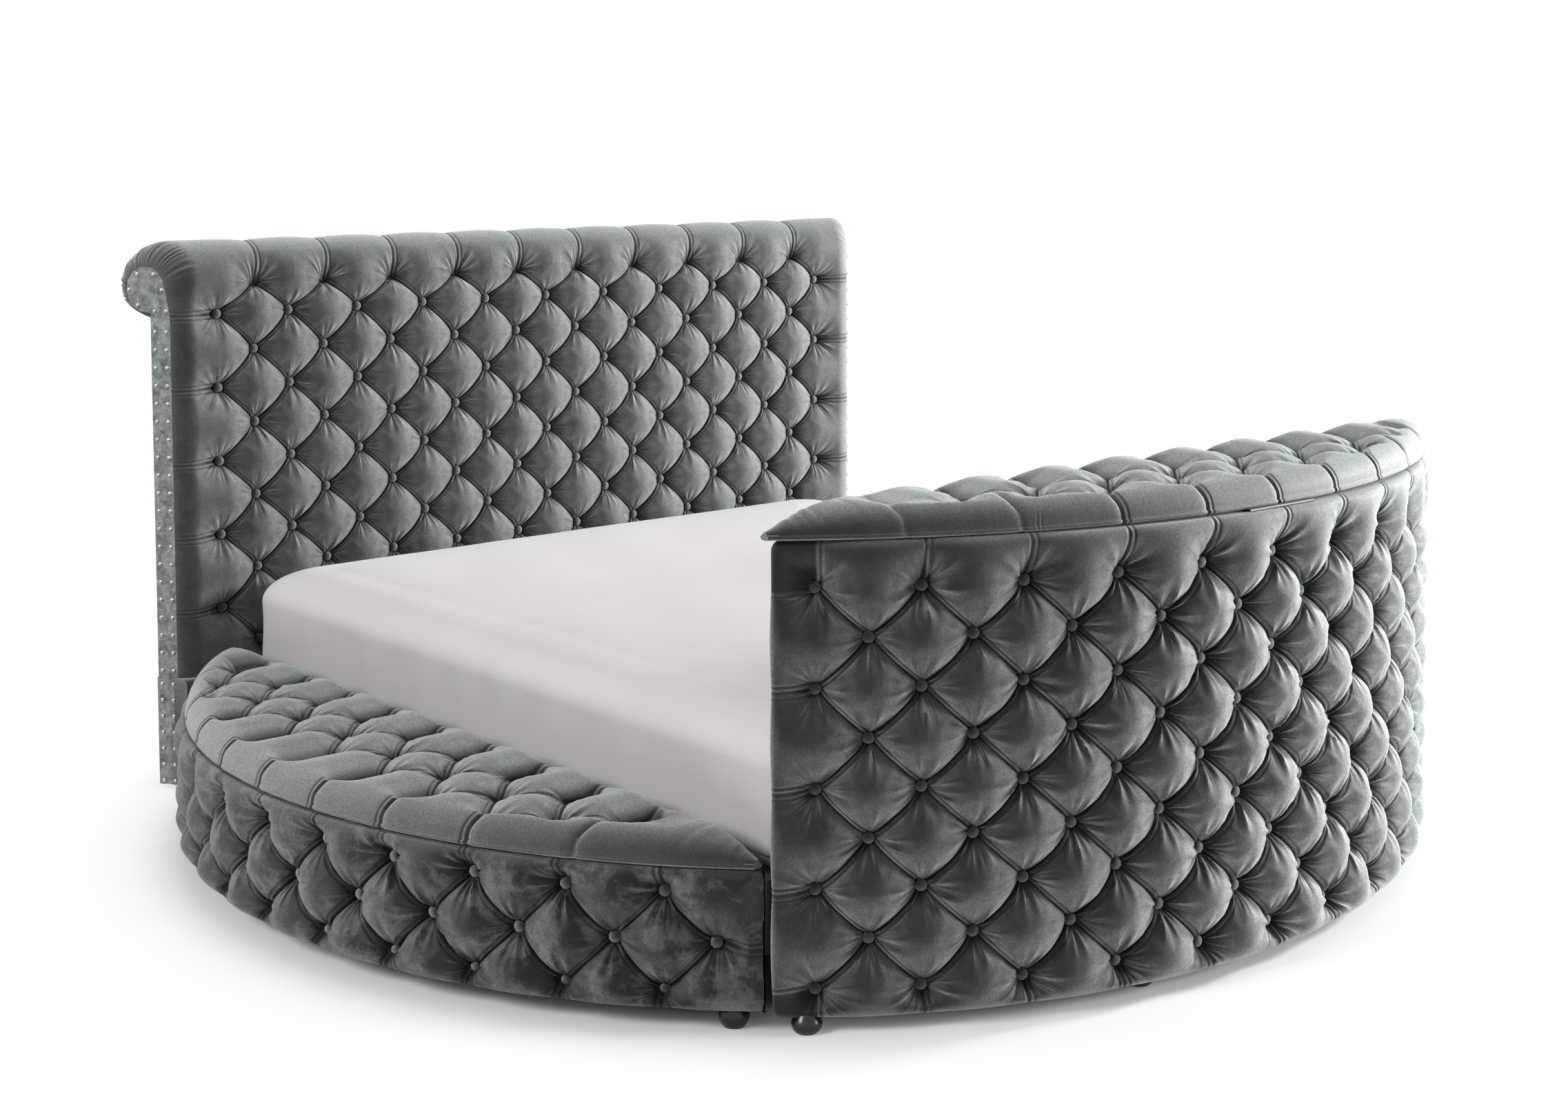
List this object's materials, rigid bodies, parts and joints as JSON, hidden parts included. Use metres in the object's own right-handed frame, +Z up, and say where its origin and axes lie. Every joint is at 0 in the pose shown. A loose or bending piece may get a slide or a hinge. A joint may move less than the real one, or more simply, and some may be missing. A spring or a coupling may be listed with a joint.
{
  "type": "round storage bed",
  "caption": "Upholstered bed with a round plan, tufted scroll headboard, curved storage benches with lids, and a tall tufted foot section with a screen lift.",
  "frame": {"origin": "centre of the round plan, on the floor, under the middle leg", "axes": "+Z up, +Y towards the headboard, +X towards the sleeper's left side when lying on the back"},
  "size_m": [2.9294, 2.7007, 1.3545],
  "materials": {
    "velvet": "grey-green velvet",
    "nail_chrome": "polished",
    "plywood": "plain birch plywood",
    "pine": "planed",
    "black_wood": "black satin",
    "ticking": "woven",
    "cotton_sheet": "smooth cotton",
    "zinc_steel": "zinc plated",
    "black_steel": "black powder coat",
    "nut_brass": "plain",
    "black_plastic": "matt"
  },
  "bodies": {
    "bed": {"headboard_core": "plywood", "headboard_pad": "velvet", "headboard_buttons": "velvet", "headboard_back_cover": "velvet", "headboard_lower_panel": "velvet", "headboard_trim_left": "velvet", "headboard_trim_right": "velvet", "headboard_lower_trims": "velvet", "headboard_joining_plates": "zinc_steel", "trim_nails": "nail_chrome", "bench_floor_left": "plywood", "bench_inner_wall_left": "plywood", "bench_outer_wall_left": "plywood", "bench_pad_left": "velvet", "bench_buttons_left": "velvet", "bench_floor_right": "plywood", "bench_inner_wall_right": "plywood", "bench_outer_wall_right": "plywood", "bench_pad_right": "velvet", "bench_buttons_right": "velvet", "bench_hinge_leaves": "zinc_steel", "bench_hinge_pins": "zinc_steel", "foot_floor": "plywood", "foot_inner_wall": "plywood", "foot_outer_wall": "plywood", "foot_inner_cover": "velvet", "foot_pad": "velvet", "foot_buttons": "velvet", "foot_hinge_leaf": "zinc_steel", "foot_hinge_pin": "zinc_steel", "lift_column": "black_steel", "lift_spindle": "zinc_steel", "lift_motor": "black_steel", "lift_control_box": "black_plastic", "side_rails": "pine", "slats": "plywood", "centre_beam": "pine", "centre_legs": "black_wood", "corner_brackets": "zinc_steel", "feet": "black_wood", "mattress": "ticking", "fitted_sheet": "cotton_sheet", "connector_bolts": "zinc_steel"},
    "bench_lid_left": {"bench_lid_board_left": "plywood", "bench_lid_cushion_left": "velvet", "bench_lid_buttons_left": "velvet", "bench_lid_hinge_leaves_left": "zinc_steel"},
    "bench_lid_right": {"bench_lid_board_right": "plywood", "bench_lid_cushion_right": "velvet", "bench_lid_buttons_right": "velvet", "bench_lid_hinge_leaves_right": "zinc_steel"},
    "foot_lid": {"foot_lid_board": "plywood", "foot_lid_cushion": "velvet", "foot_lid_buttons": "velvet", "foot_lid_hinge_leaf": "zinc_steel"},
    "lift_stage": {"lift_middle_tube": "black_steel", "lift_nut": "nut_brass"},
    "screen_carriage": {"lift_inner_tube": "black_steel", "screen_bracket": "black_steel"}
  },
  "joints": [
    {"name": "bench_lid_left_hinge", "type": "hinge", "parent": "bed", "child": "bench_lid_left", "pos_m": [-0.98, 0, 0.3045], "axis": [0, 1, 0], "range_deg": [0, 75]},
    {"name": "bench_lid_right_hinge", "type": "hinge", "parent": "bed", "child": "bench_lid_right", "pos_m": [0.98, 0, 0.3045], "axis": [0, -1, 0], "range_deg": [0, 75]},
    {"name": "screen_lift", "type": "slide", "parent": "bed", "child": "screen_carriage", "axis": [0, 0, 1], "range_m": [0, 0.6]},
    {"name": "lift_stage_slide", "type": "slide", "parent": "bed", "child": "lift_stage", "axis": [0, 0, 1], "range_m": [0, 0.3]},
    {"name": "foot_lid_hinge", "type": "hinge", "parent": "bed", "child": "foot_lid", "pos_m": [0, -1.436, 0.9015], "axis": [1, 0, 0], "range_deg": [0, 90]}
  ],
  "couplings": [
    {"joint": "lift_stage_slide", "follows": "screen_lift", "ratio": 0.5},
    {"joint": "foot_lid_hinge", "follows": "screen_lift", "rad_per_m": 2.6179}
  ]
}
